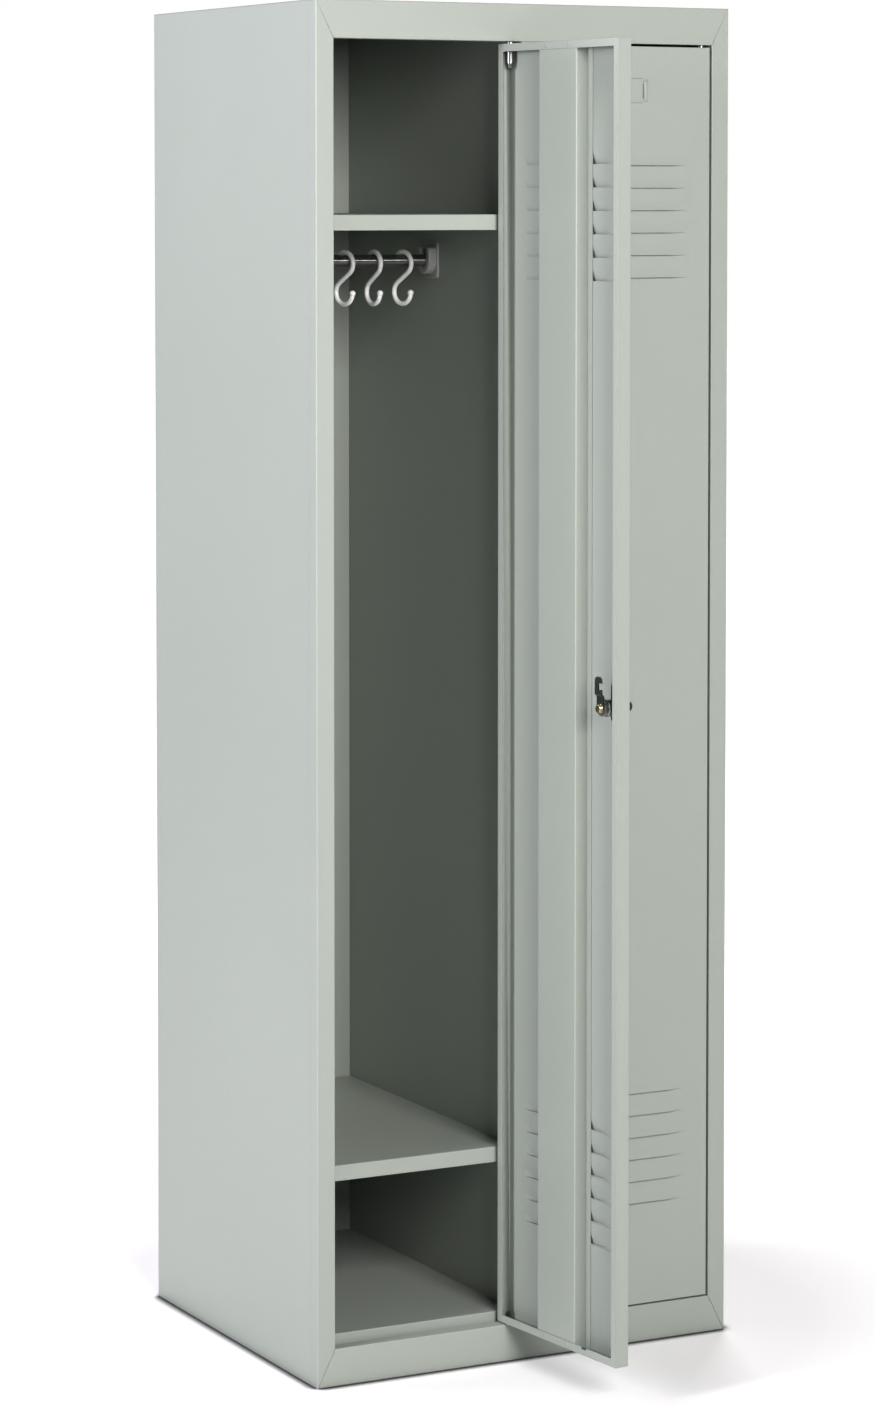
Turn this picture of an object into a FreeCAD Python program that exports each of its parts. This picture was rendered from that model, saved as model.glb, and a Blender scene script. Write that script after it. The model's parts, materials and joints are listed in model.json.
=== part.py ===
import FreeCAD, Part
import math
import os
import Sketcher
from types import SimpleNamespace

# A two-door steel clothes locker. X runs to the right, Y to the back and Z up.
# The origin is the middle of the footprint, on the floor.

doc = FreeCAD.newDocument("Locker")

# Driving dimensions in millimetres and degrees
sizes = {
    # Cabinet sheet metal
    "width": 600.0,
    "depth": 500.0,
    "height": 1750.0,
    "gauge": 0.8,
    "bend_radius": 1.2,
    "stile_width": 25.0,
    "stile_depth": 20.0,
    "stile_lip": 10.0,
    "centre_stile": 16.0,
    "centre_lip": 8.0,
    "rail_height": 48.0,
    "rail_depth": 20.0,
    "rail_lip": 8.0,
    "mitre_gap": 0.8,
    "weld_flange": 15.0,
    "flange_setback": 30.0,
    # Shelves and floors
    "tray_setback": 24.5,
    "tray_rear_gap": 4.0,
    "tray_front": 20.0,
    "tray_side": 25.0,
    "tray_notch": 6.0,
    "tray_corner": 4.0,
    "upper_shelf_drop": 268.0,
    "lower_shelf": 276.0,
    "floor_level": 60.0,
    # Coat rods and their sockets
    "rod_diameter": 16.0,
    "rod_wall": 1.0,
    "rod_drop": 330.0,
    "rod_setback": 249.0,
    "rod_fit": 0.2,
    "socket_width": 40.0,
    "socket_height": 48.0,
    "socket_drop": 24.0,
    "socket_plate": 3.0,
    "socket_corner": 4.0,
    "cup_wall": 10.0,
    "cup_depth": 11.0,
    "cup_arm": 18.0,
    # Coat hooks
    "hook_wire": 6.0,
    "hook_top_radius": 15.0,
    "hook_foot_radius": 15.5,
    "hook_drop": 38.5,
    "hook_tip": 40.0,
    "foot_bends": 6,
    "top_bends": 4,
    "tip_bends": 2,
    "hook_ball": 8.4,
    "hook_clearance": 0.6,
    "hook_spacing": 43.0,
    "hook_twist": 18.0,
    "middle_hook_twist": 8.0,
    # Doors
    "hinge_gap": 3.0,
    "lock_gap": 2.0,
    "door_top_gap": 3.0,
    "door_bottom_gap": 2.0,
    "door_depth": 20.0,
    "door_lip": 10.0,
    "left_door_angle": 95.7,
    "right_door_angle": 0.0,
    # Louvres and card frame
    "louvre_count": 6,
    "louvre_pitch": 29.1,
    "louvre_rise": 13.6,
    "louvre_depth": 4.4,
    "louvre_edge": 0.8,
    "louvre_margin": 32.0,
    "louvre_taper": 30.0,
    "upper_louvre_drop": 350.5,
    "lower_louvres": 185.5,
    "card_width": 68.0,
    "card_height": 31.0,
    "card_drop": 108.5,
    "card_rail": 4.0,
    "card_rise": 0.8,
    # Door stiffener
    "hat_width": 82.0,
    "hat_flange": 10.0,
    # Hinge pins
    "pin_inset": 9.5,
    "pin_setback": 8.0,
    "pin_diameter": 8.0,
    "pin_body": 11.0,
    "upper_pin_length": 26.0,
    "lower_pin_length": 14.0,
    "pin_reach": 6.0,
    "pin_fit": 0.05,
    "door_lift": 0.3,
    # Cam locks
    "lock_inset": 32.0,
    "lock_drop": 3.5,
    "lock_diameter": 19.0,
    "lock_fit": 0.1,
    "lock_head": 24.0,
    "lock_rise": 2.5,
    "lock_overhang": 0.6,
    "plug_diameter": 12.0,
    "plug_fit": 0.1,
    "cam_gap": 0.4,
    "cam_gauge": 2.0,
    "cam_width": 14.0,
    "cam_length": 40.0,
    "cam_joggle": 3.0,
    "cam_joggle_level": 15.0,
    "cam_round": 6.0,
    "throat_bottom": 24.0,
    "throat_top": 32.0,
    "throat_depth": 7.0,
    # Keys
    "key_bow": 12.0,
    "key_bow_length": 20.0,
    "key_neck": 3.5,
    "key_gauge": 2.0,
    "key_blade": 7.0,
    "key_depth": 18.0,
    "key_fit": 0.2,
    "key_round": 5.5,
    "key_ring_hole": 4.0,
}

sheet = doc.addObject("Spreadsheet::Sheet", "Sizes")
for row, (alias, value) in enumerate(sizes.items(), start=1):
    sheet.set(f"A{row}", alias)
    sheet.set(f"B{row}", str(value))
    sheet.setAlias(f"B{row}", alias)
doc.recompute()


class Size:
    # A number together with the sheet expression that it comes from
    def __init__(self, value, text):
        self.value = value
        self.text = text

    def __add__(self, other):
        other = asSize(other)
        return Size(self.value + other.value, f"({self.text} + {other.text})")

    def __sub__(self, other):
        other = asSize(other)
        return Size(self.value - other.value, f"({self.text} - {other.text})")

    def __mul__(self, other):
        other = asSize(other)
        return Size(self.value * other.value, f"({self.text} * {other.text})")

    def __truediv__(self, other):
        other = asSize(other)
        return Size(self.value / other.value, f"({self.text} / {other.text})")

    def __neg__(self):
        return Size(-self.value, f"(0 - {self.text})")


def asSize(number):
    if isinstance(number, Size):
        return number
    return Size(float(number), f"({float(number)!r})")


def sine(angle):
    return Size(math.sin(math.radians(angle.value)), f"sin({angle.text})")


def cosine(angle):
    return Size(math.cos(math.radians(angle.value)), f"cos({angle.text})")


def arcsine(ratio):
    return Size(math.degrees(math.asin(ratio.value)), f"(asin({ratio.text}) / 1 deg)")


p = SimpleNamespace(**{alias: Size(value, f"Sizes.{alias}") for alias, value in sizes.items()})
zero = asSize(0)
pieces = []

# Levels and planes that several pieces share
halfWidth = p.width / 2
halfCentre = p.centre_stile / 2
stileEdge = halfWidth - p.stile_width
rearFace = p.depth - p.gauge
topRailEdge = p.height - p.rail_height
doorBottom = p.rail_height + p.door_bottom_gap
doorTop = topRailEdge - p.door_top_gap
upperShelf = p.height - p.upper_shelf_drop
rodLevel = p.height - p.rod_drop
upperLouvres = p.height - p.upper_louvre_drop
cardLevel = p.height - p.card_drop
lockLevel = (doorBottom + doorTop) / 2 - p.lock_drop
doorWidth = stileEdge - halfCentre - p.hinge_gap - p.lock_gap

# Door frame: the hinge pin axis is at x = 0, y = 0, with the door closed
hingeEdge = p.pin_inset
freeEdge = p.pin_inset - doorWidth
skinFace = -p.pin_setback
skinInside = skinFace + p.gauge
lipPlane = skinFace + p.door_depth
lockX = freeEdge + p.lock_inset
lockFace = skinFace - p.lock_rise
camSeat = lipPlane + p.lock_overhang + p.cam_gap

leftPin = -halfCentre - p.hinge_gap - p.pin_inset
rightPin = stileEdge - p.hinge_gap - p.pin_inset

# Inner faces of the two compartments
compartments = {
    "left": (p.gauge - halfWidth, -halfCentre),
    "right": (p.gauge - halfCentre, halfWidth - p.gauge),
}


def newBody(label):
    body = doc.addObject("PartDesign::Body", label)
    body.Label = label
    pieces.append(body)
    return body


def originFeature(body, role):
    return [item for item in body.Origin.OriginFeatures if item.Role == role][0]


def newSketch(body, name, role, offset=zero):
    sketch = body.newObject("Sketcher::SketchObject", name)
    sketch.AttachmentSupport = [(originFeature(body, role), "")]
    sketch.MapMode = "FlatFace"
    sketch.setExpression("AttachmentOffset.Base.z", offset.text)
    sketch.AttachmentOffset = FreeCAD.Placement(FreeCAD.Vector(0, 0, offset.value), FreeCAD.Rotation())
    return sketch


def fixValue(sketch, constraint, value):
    index = sketch.addConstraint(constraint)
    sketch.setExpression(f"Constraints[{index}]", value.text)


def fixPoint(sketch, geometry, position, x, y):
    fixValue(sketch, Sketcher.Constraint("DistanceX", -1, 1, geometry, position, x.value), x)
    fixValue(sketch, Sketcher.Constraint("DistanceY", -1, 1, geometry, position, y.value), y)


def addPath(sketch, points, closed=False):
    first = sketch.GeometryCount
    corners = [FreeCAD.Vector(x.value, y.value, 0) for x, y in points]
    ends = corners[1:] + corners[:1] if closed else corners[1:]
    for start, end in zip(corners, ends):
        sketch.addGeometry(Part.LineSegment(start, end))
    count = len(ends)
    for i in range(count if closed else count - 1):
        sketch.addConstraint(Sketcher.Constraint("Coincident", first + i, 2, first + (i + 1) % count, 1))
    for i, (x, y) in enumerate(points[:count]):
        fixPoint(sketch, first + i, 1, x, y)
    if not closed:
        fixPoint(sketch, first + count - 1, 2, *points[-1])


def addLoop(sketch, points):
    addPath(sketch, points, closed=True)


def addBox(sketch, x0, y0, x1, y1):
    addLoop(sketch, [(x0, y0), (x1, y0), (x1, y1), (x0, y1)])


def addCircle(sketch, x, y, radius):
    centre = FreeCAD.Vector(x.value, y.value, 0)
    geometry = sketch.addGeometry(Part.Circle(centre, FreeCAD.Vector(0, 0, 1), radius.value))
    fixPoint(sketch, geometry, 3, x, y)
    fixValue(sketch, Sketcher.Constraint("Radius", geometry, radius.value), radius)


def pad(body, sketch, length, reverse=False, symmetric=False):
    feature = body.newObject("PartDesign::Pad", sketch.Name + "Pad")
    feature.Profile = sketch
    feature.setExpression("Length", length.text)
    feature.Reversed = reverse
    if symmetric:
        feature.SideType = "Symmetric"
    return feature


def pocket(body, sketch, length, reverse=False):
    doc.recompute()
    before = body.Shape.Volume
    feature = body.newObject("PartDesign::Pocket", sketch.Name + "Pocket")
    feature.Profile = sketch
    feature.setExpression("Length", length.text)
    feature.Reversed = reverse
    doc.recompute()
    if body.Shape.Volume >= before:
        raise ValueError(f"{body.Label}: {sketch.Name} cuts nothing")
    return feature


def dressEdges(body, kind, field, value, chosen):
    doc.recompute()
    base = body.Tip
    names = [f"Edge{i}" for i, edge in enumerate(base.Shape.Edges, start=1) if chosen(edge)]
    if not names:
        raise ValueError(f"{body.Label}: no edge for a {kind}")
    feature = body.newObject(f"PartDesign::{kind}", kind)
    feature.Base = (base, names)
    feature.setExpression(field, value.text)


def roundEdges(body, radius, chosen):
    dressEdges(body, "Fillet", "Radius", radius, chosen)


def bevelEdges(body, size, chosen):
    dressEdges(body, "Chamfer", "Size", size, chosen)


def near(a, b):
    return abs(a - b) < 1e-4


# Edges that run straight along an axis (0, 1 or 2) through one of the given corners,
# each corner written in the order of the two other axes
def edgesAlong(axis, corners):
    others = [i for i in range(3) if i != axis]

    def chosen(edge):
        if len(edge.Vertexes) != 2:
            return False
        ends = [vertex.Point for vertex in edge.Vertexes]
        for corner in corners:
            if all(near(end[others[k]], corner[k].value) for end in ends for k in range(2)):
                return True
        return False

    return chosen


# Edges that lie in one of the given planes across an axis
def edgesInPlanes(axis, levels):
    def chosen(edge):
        heights = [vertex.Point[axis] for vertex in edge.Vertexes]
        return any(all(near(height, level.value) for height in heights) for level in levels)

    return chosen


def sign(number):
    return (number > 1e-9) - (number < -1e-9)


# Section of a sheet that is folded square along a path. The sheet lies on the left of the path
# for side 1 and on its right for side -1. Returns the outline with the outer bend corners.
def foldSheet(path, side):
    normals = []
    turns = []
    for (x0, y0), (x1, y1) in zip(path, path[1:]):
        along = (sign(x1.value - x0.value), sign(y1.value - y0.value))
        normals.append((-along[1] * side, along[0] * side))
        turns.append(along)
    inside = []
    for i, (x, y) in enumerate(path):
        touching = normals[max(i - 1, 0):i + 1]
        nx = sum(normal[0] for normal in touching)
        ny = sum(normal[1] for normal in touching)
        inside.append((x + p.gauge * nx, y + p.gauge * ny))
    outer = []
    for i in range(1, len(path) - 1):
        before, after = turns[i - 1], turns[i]
        turn = before[0] * after[1] - before[1] * after[0]
        outer.append(path[i] if turn == side else inside[i])
    return path + inside[::-1], outer


# A folded sheet: its section is padded along the axis and each fold gets its bend radius
def foldedBody(label, role, axis, path, side, start, length, symmetric=False):
    body = newBody(label)
    outline, outer = foldSheet(path, side)
    section = newSketch(body, "Section", role, start)
    addLoop(section, outline)
    pad(body, section, length, symmetric=symmetric)
    roundEdges(body, p.bend_radius, edgesAlong(axis, outer))
    return body


def placeInCabinet(body):
    body.setExpression("Placement.Base.y", (-p.depth / 2).text)


def placeAtPin(body, pinX, angle):
    body.setExpression("Placement.Base.x", pinX.text)
    body.setExpression("Placement.Base.y", (p.pin_setback - p.depth / 2).text)
    body.setExpression("Placement.Rotation.Angle", angle.text)


# Repeated small pieces of one body, joined into one sub-part
def joinPieces(label, bodies):
    group = doc.addObject("Part::Compound", label)
    group.Label = label
    group.Links = bodies
    for body in bodies:
        pieces.remove(body)
    pieces.append(group)


# A flat sheet between two corners, from one level up
def flatSheet(label, x0, y0, x1, y1, level, height):
    body = newBody(label)
    sketch = newSketch(body, "Sheet", "XY_Plane", level)
    addBox(sketch, x0, y0, x1, y1)
    pad(body, sketch, height)
    placeInCabinet(body)
    return body


# Upright wall behind a stile, with the narrow strips that weld it to the roof, back and floor.
# The side is 1 where the wall's outer face looks to the right and -1 where it looks to the left.
def uprightWall(label, outer, side):
    inside = outer - p.gauge * side
    strip = outer - p.weld_flange * side
    rearInside = rearFace - p.gauge
    wallHeight = p.height - p.gauge
    flatSheet(label, outer, p.stile_depth, inside, rearFace, zero, wallHeight)
    setback = p.depth - p.flange_setback
    strips = [
        flatSheet(f"{label}_foot", inside, p.flange_setback, strip, setback, zero, p.gauge),
        flatSheet(f"{label}_head", inside, p.flange_setback, strip, setback, wallHeight - p.gauge, p.gauge),
        flatSheet(f"{label}_rear", inside, rearInside, strip, rearFace, zero, wallHeight),
    ]
    joinPieces(f"{label}_flanges", strips)


# Side stile: a channel at the front of a side panel. Its ends are cut to the mitre, just clear of
# the rails.
def sideStile(label, side):
    outer = halfWidth * side
    inner = stileEdge * side
    lipEnd = (stileEdge + p.stile_lip) * side
    path = [
        (lipEnd, p.stile_depth),
        (inner, p.stile_depth),
        (inner, zero),
        (outer, zero),
        (outer, p.stile_depth),
    ]
    body = foldedBody(label, "XY_Plane", 2, path, side, zero, p.height - p.gauge)
    mitreStart = outer - p.bend_radius * side
    past = inner - p.gauge * side
    mitre = newSketch(body, "Mitre", "XZ_Plane")
    for edge, corner, railEdge, away in (
        (p.height, p.height - p.gauge, topRailEdge, -1),
        (zero, p.gauge, p.rail_height, 1),
    ):
        lift = p.mitre_gap * away
        addLoop(mitre, [
            (mitreStart, edge),
            (mitreStart, corner + lift),
            (inner, railEdge + lift),
            (past, railEdge + lift),
            (past, edge),
        ])
    pocket(body, mitre, p.stile_depth + p.gauge)
    placeInCabinet(body)


# The corners of a rail are cut back along the same mitre
def mitreRail(body, edge, corner, railEdge, past):
    mitre = newSketch(body, "Mitre", "XZ_Plane")
    for side in (-1, 1):
        outside = (halfWidth + p.gauge) * side
        start = (halfWidth - p.bend_radius) * side
        addLoop(mitre, [
            (outside, edge),
            (start, edge),
            (start, corner),
            (stileEdge * side, railEdge),
            (stileEdge * side, past),
            (outside, past),
        ])
    pocket(body, mitre, p.rail_depth + p.gauge)


def hingeHoles(body, level, upward):
    holes = newSketch(body, "HingeHoles", "XY_Plane", level)
    for pinX in (leftPin, rightPin):
        addCircle(holes, pinX, p.pin_setback, p.pin_diameter / 2 + p.pin_fit)
    pocket(body, holes, p.rail_lip, reverse=upward)


# Roof: the top sheet with the upper front rail folded from it
def roofPanel():
    path = [
        (p.rail_depth, topRailEdge + p.rail_lip),
        (p.rail_depth, topRailEdge),
        (zero, topRailEdge),
        (zero, p.height),
        (rearFace, p.height),
    ]
    body = foldedBody("roof_panel", "YZ_Plane", 0, path, -1, zero, p.width, symmetric=True)
    underSheet = p.height - p.gauge
    mitreRail(body, underSheet, underSheet - p.gauge, topRailEdge, topRailEdge - p.gauge)
    hingeHoles(body, topRailEdge, True)
    placeInCabinet(body)


# Bottom rail: a channel that closes the front below the doors
def bottomRail():
    path = [
        (p.rail_depth, zero),
        (zero, zero),
        (zero, p.rail_height),
        (p.rail_depth, p.rail_height),
        (p.rail_depth, p.rail_height - p.rail_lip),
    ]
    body = foldedBody("bottom_rail", "YZ_Plane", 0, path, -1, zero, p.width, symmetric=True)
    mitreRail(body, -p.gauge, p.gauge, p.rail_height, p.rail_height + p.gauge)
    hingeHoles(body, p.rail_height, False)
    placeInCabinet(body)


# Centre stile: a channel at the front of the partition, between the two rails
def centreStile():
    path = [
        (halfCentre - p.centre_lip, p.stile_depth),
        (halfCentre, p.stile_depth),
        (halfCentre, zero),
        (-halfCentre, zero),
        (-halfCentre, p.stile_depth),
    ]
    body = foldedBody("centre_stile", "XY_Plane", 2, path, -1, p.rail_height, topRailEdge - p.rail_height)
    placeInCabinet(body)


def backPanel():
    body = newBody("back_panel")
    sketch = newSketch(body, "Sheet", "XZ_Plane", -rearFace)
    addBox(sketch, -halfWidth, zero, halfWidth, p.height)
    pad(body, sketch, p.gauge, reverse=True)
    placeInCabinet(body)


# Tray: a shelf or floor with flanges turned down all round. The side flanges reach lower than
# the front one and are rounded at the front.
def tray(label, x0, x1, level):
    body = newBody(label)
    front = p.tray_setback
    rear = rearFace - p.tray_rear_gap
    foot = level - p.tray_side
    block = newSketch(body, "Block", "XY_Plane", foot)
    addBox(block, x0, front, x1, rear)
    pad(body, block, p.tray_side)
    roundEdges(body, p.bend_radius, edgesAlong(0, [(front, level)]))
    hollow = newSketch(body, "Hollow", "XY_Plane", foot)
    addBox(hollow, x0 + p.gauge, front + p.gauge, x1 - p.gauge, rear - p.gauge)
    pocket(body, hollow, p.tray_side - p.gauge, reverse=True)
    notchEnd = front + p.tray_notch
    notch = newSketch(body, "FrontNotch", "YZ_Plane", x0)
    addBox(notch, front, foot, notchEnd, level - p.tray_front)
    pocket(body, notch, x1 - x0, reverse=True)
    roundEdges(body, p.tray_corner, edgesAlong(0, [(notchEnd, foot)]))
    placeInCabinet(body)


def coatRod(label, x0, x1):
    body = newBody(label)
    radius = p.rod_diameter / 2
    ring = newSketch(body, "Ring", "YZ_Plane", x0 + p.socket_plate)
    addCircle(ring, p.rod_setback, rodLevel, radius)
    addCircle(ring, p.rod_setback, rodLevel, radius - p.rod_wall)
    pad(body, ring, x1 - x0 - p.socket_plate * 2)
    placeInCabinet(body)


# Rod socket: a plate on the wall with a cup that is open at the top, so the rod drops in
def rodSocket(label, wall, turn):
    body = newBody(label)
    half = p.socket_width / 2
    top = p.socket_height - p.socket_drop
    bore = p.rod_diameter / 2 + p.rod_fit
    rim = bore + p.cup_wall
    plate = newSketch(body, "Plate", "YZ_Plane")
    addBox(plate, -half, -p.socket_drop, half, top)
    pad(body, plate, p.socket_plate)
    corners = [(y, z) for y in (-half, half) for z in (-p.socket_drop, top)]
    bevelEdges(body, p.socket_corner, edgesAlong(0, corners))
    cup = newSketch(body, "Cup", "YZ_Plane", p.socket_plate)
    addCircle(cup, zero, zero, rim)
    pad(body, cup, p.cup_depth)
    arms = newSketch(body, "Arms", "YZ_Plane", p.socket_plate)
    addBox(arms, -rim, zero, rim, p.cup_arm)
    pad(body, arms, p.cup_depth)
    seat = newSketch(body, "Seat", "YZ_Plane", p.socket_plate)
    addCircle(seat, zero, zero, bore)
    pocket(body, seat, p.cup_depth, reverse=True)
    mouth = newSketch(body, "Mouth", "YZ_Plane", p.socket_plate)
    addBox(mouth, -bore, zero, bore, p.cup_arm)
    pocket(body, mouth, p.cup_depth, reverse=True)
    body.setExpression("Placement.Base.x", wall.text)
    body.setExpression("Placement.Base.y", (p.rod_setback - p.depth / 2).text)
    body.setExpression("Placement.Base.z", rodLevel.text)
    body.setExpression("Placement.Rotation.Angle", asSize(turn).text)
    return body


# Points along an arc about a centre, from one angle to another
def arcPoints(x, y, radius, start, end, steps):
    turns = [start + (end - start) * i / steps for i in range(steps + 1)]
    return [(x + radius * cosine(turn), y + radius * sine(turn)) for turn in turns]


def addOctagon(sketch, x, y, radius):
    turns = [45 * i + 22.5 for i in range(8)]
    addLoop(sketch, [(x + radius * cosine(asSize(turn)), y + radius * sine(asSize(turn))) for turn in turns])


# S-hook: foot loop with a knob, straight shank, and top loop that rests on the rod, bent in short
# flats. Its own frame has the rod axis at the origin and the open foot to the front.
def coatHook(label, x, twist):
    body = newBody(label)
    wire = p.hook_wire / 2
    topRadius = p.hook_top_radius
    footRadius = p.hook_foot_radius
    top = p.rod_diameter / 2 + p.hook_clearance + wire - topRadius
    foot = top - p.hook_drop
    lean = arcsine((topRadius + footRadius) / p.hook_drop)
    apex = asSize(90)
    front = asSize(180)
    knobFoot = foot - p.hook_ball / 2
    knobHead = foot + p.hook_ball / 2
    knob = newSketch(body, "Knob", "XY_Plane", knobFoot)
    addOctagon(knob, zero, -footRadius, p.hook_ball / 2)
    pad(body, knob, p.hook_ball)
    bevelEdges(body, p.hook_ball / 4, edgesInPlanes(2, [knobFoot, knobHead]))
    start = foot + p.hook_ball / 4
    spine = newSketch(body, "Spine", "YZ_Plane")
    bends = [int(count.value) for count in (p.foot_bends, p.top_bends, p.tip_bends)]
    addPath(
        spine,
        [(-footRadius, start)]
        + arcPoints(zero, foot, footRadius, front, front * 2 + lean, bends[0])
        + arcPoints(zero, top, topRadius, front + lean, apex, bends[1])
        + arcPoints(zero, top, topRadius, apex, p.hook_tip, bends[2])[1:],
    )
    section = newSketch(body, "Section", "XY_Plane", start)
    addOctagon(section, zero, -footRadius, wire)
    pipe = body.newObject("PartDesign::AdditivePipe", "Wire")
    pipe.Profile = section
    pipe.Spine = (spine, [""])
    pipe.Transition = "Right corner"
    doc.recompute()

    # The hook hangs with its centre of mass under the rod
    centre = body.Shape.Solids[0].CenterOfMass
    swing = math.atan2(centre.y * math.cos(math.radians(twist.value)), -centre.z)
    hung = FreeCAD.Rotation(FreeCAD.Vector(1, 0, 0), -math.degrees(swing))
    turned = FreeCAD.Rotation(FreeCAD.Vector(0, 0, 1), twist.value)
    body.Placement = FreeCAD.Placement(FreeCAD.Vector(), hung.multiply(turned))
    body.setExpression("Placement.Base.x", x.text)
    body.setExpression("Placement.Base.y", (p.rod_setback - p.depth / 2).text)
    body.setExpression("Placement.Base.z", rodLevel.text)


# One row of louvres, pressed outwards and open along the lower edge: the hoods are added to the
# skin and then hollowed out through it
def louvreRow(body, name, level):
    half = doorWidth / 2 - p.louvre_margin
    middle = (hingeEdge + freeEdge) / 2
    for kind, plane, reach in (("Additive", skinFace, half), ("Subtractive", skinInside, half - p.gauge)):
        wedge = body.newObject(f"PartDesign::{kind}Wedge", f"{name}{kind}")
        for field, value in (
            ("Xmin", -reach),
            ("Xmax", reach),
            ("X2min", p.louvre_taper - reach),
            ("X2max", reach - p.louvre_taper),
            ("Ymin", zero),
            ("Ymax", p.louvre_depth),
            ("Zmin", zero),
            ("Zmax", p.louvre_rise),
            ("Z2min", zero),
            ("Z2max", p.louvre_edge),
        ):
            wedge.setExpression(field, value.text)
        wedge.Placement = FreeCAD.Placement(
            FreeCAD.Vector(middle.value, plane.value, level.value),
            FreeCAD.Rotation(FreeCAD.Vector(0, 0, 1), 180),
        )
        wedge.setExpression("Placement.Base.x", middle.text)
        wedge.setExpression("Placement.Base.y", plane.text)
        wedge.setExpression("Placement.Base.z", level.text)
        doc.recompute()
        pattern = body.newObject("PartDesign::LinearPattern", f"{name}{kind}Row")
        pattern.Originals = [wedge]
        pattern.Direction = (originFeature(body, "Z_Axis"), [""])
        pattern.Mode = "Spacing"
        pattern.setExpression("Offset", p.louvre_pitch.text)
        pattern.setExpression("Occurrences", p.louvre_count.text)
        body.Tip = pattern
        doc.recompute()


# Door panel: a folded tray with lips turned in on all four sides
def doorPanel(label):
    body = newBody(label)
    block = newSketch(body, "Block", "XZ_Plane", -skinFace)
    addBox(block, freeEdge, doorBottom, hingeEdge, doorTop)
    pad(body, block, p.door_depth, reverse=True)
    roundEdges(body, p.bend_radius, edgesInPlanes(1, [skinFace]))
    for name, plane, inset, length in (
        ("Opening", lipPlane, p.door_lip, p.gauge),
        ("Hollow", lipPlane - p.gauge, p.gauge, p.door_depth - p.gauge * 2),
    ):
        sketch = newSketch(body, name, "XZ_Plane", -plane)
        addBox(sketch, freeEdge + inset, doorBottom + inset, hingeEdge - inset, doorTop - inset)
        pocket(body, sketch, length, reverse=True)
    pinHoles = newSketch(body, "PinHoles", "XY_Plane", doorBottom)
    addCircle(pinHoles, zero, zero, p.pin_body / 2 + p.pin_fit)
    pocket(body, pinHoles, doorTop - doorBottom, reverse=True)
    lockHole = newSketch(body, "LockHole", "XZ_Plane", -skinFace)
    addCircle(lockHole, lockX, lockLevel, p.lock_diameter / 2 + p.lock_fit)
    pocket(body, lockHole, p.bend_radius)
    louvreRow(body, "Upper", upperLouvres)
    louvreRow(body, "Lower", p.lower_louvres)
    cardFrame(body)
    return body


# Card frame: a raised rim, open at the lock side for the card to slide in
def cardFrame(body):
    middle = (hingeEdge + freeEdge) / 2
    left = middle - p.card_width / 2
    right = middle + p.card_width / 2
    foot = cardLevel - p.card_height / 2
    head = cardLevel + p.card_height / 2
    frame = newSketch(body, "CardFrame", "XZ_Plane", -skinFace)
    addLoop(frame, [
        (left, foot),
        (right, foot),
        (right, head),
        (left, head),
        (left, head - p.card_rail),
        (right - p.card_rail, head - p.card_rail),
        (right - p.card_rail, foot + p.card_rail),
        (left, foot + p.card_rail),
    ])
    pad(body, frame, p.card_rise)


# Stiffener: a hat section that fills the door's depth from the skin to the lips
def doorStiffener(label):
    middle = (hingeEdge + freeEdge) / 2
    half = p.hat_width / 2
    flange = skinInside + p.gauge
    face = lipPlane - p.gauge
    path = [
        (middle - half - p.hat_flange, flange),
        (middle - half, flange),
        (middle - half, face),
        (middle + half, face),
        (middle + half, flange),
        (middle + half + p.hat_flange, flange),
    ]
    length = doorTop - doorBottom - p.gauge * 2
    return foldedBody(label, "XY_Plane", 2, path, -1, doorBottom + p.gauge, length)


def turnedPiece(label, points):
    body = newBody(label)
    section = newSketch(body, "HalfSection", "XZ_Plane")
    addLoop(section, points)
    turned = body.newObject("PartDesign::Revolution", "Turned")
    turned.Profile = section
    turned.ReferenceAxis = (section, ["V_Axis"])
    return body


# Hinge pin: a thick body that stands through the door's wall up to its shoulder, and a journal
# that turns in the rail. The way is 1 for the upper pin and -1 for the lower one.
def hingePin(label, wall, rail, way, length):
    thick = p.pin_body / 2
    thin = p.pin_diameter / 2
    end = wall - length * way
    shoulder = rail - p.door_lift * way
    tip = rail + p.pin_reach * way
    return turnedPiece(label, [
        (zero, end),
        (thick, end),
        (thick, shoulder),
        (thin, shoulder),
        (thin, tip),
        (zero, tip),
    ])


# A round piece on the lock's axis, from one depth to the next
def lockDisc(body, name, radius, start, length):
    sketch = newSketch(body, name, "XZ_Plane", -start)
    addCircle(sketch, lockX, lockLevel, radius)
    pad(body, sketch, length, reverse=True)


def lockBore(body, name, radius, start, length):
    sketch = newSketch(body, name, "XZ_Plane", -start)
    addCircle(sketch, lockX, lockLevel, radius)
    pocket(body, sketch, length)


def lockBody(label):
    body = newBody(label)
    barrelEnd = lipPlane + p.lock_overhang
    lockDisc(body, "Head", p.lock_head / 2, lockFace, p.lock_rise)
    lockDisc(body, "Barrel", p.lock_diameter / 2, skinFace, barrelEnd - skinFace)
    lockBore(body, "PlugBore", p.plug_diameter / 2 + p.plug_fit, lockFace, barrelEnd - lockFace)
    return body


# Plug: the part that the key turns, with the cam on its inner end
def lockPlug(label):
    body = newBody(label)
    lockDisc(body, "Plug", p.plug_diameter / 2, lockFace, camSeat - lockFace)
    half = p.key_gauge / 2 + p.key_fit
    tall = p.key_blade / 2 + p.key_fit
    keyway = newSketch(body, "Keyway", "XZ_Plane", -lockFace)
    addBox(keyway, lockX - half, lockLevel - tall, lockX + half, lockLevel + tall)
    pocket(body, keyway, p.key_depth + p.key_fit)
    return body


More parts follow.
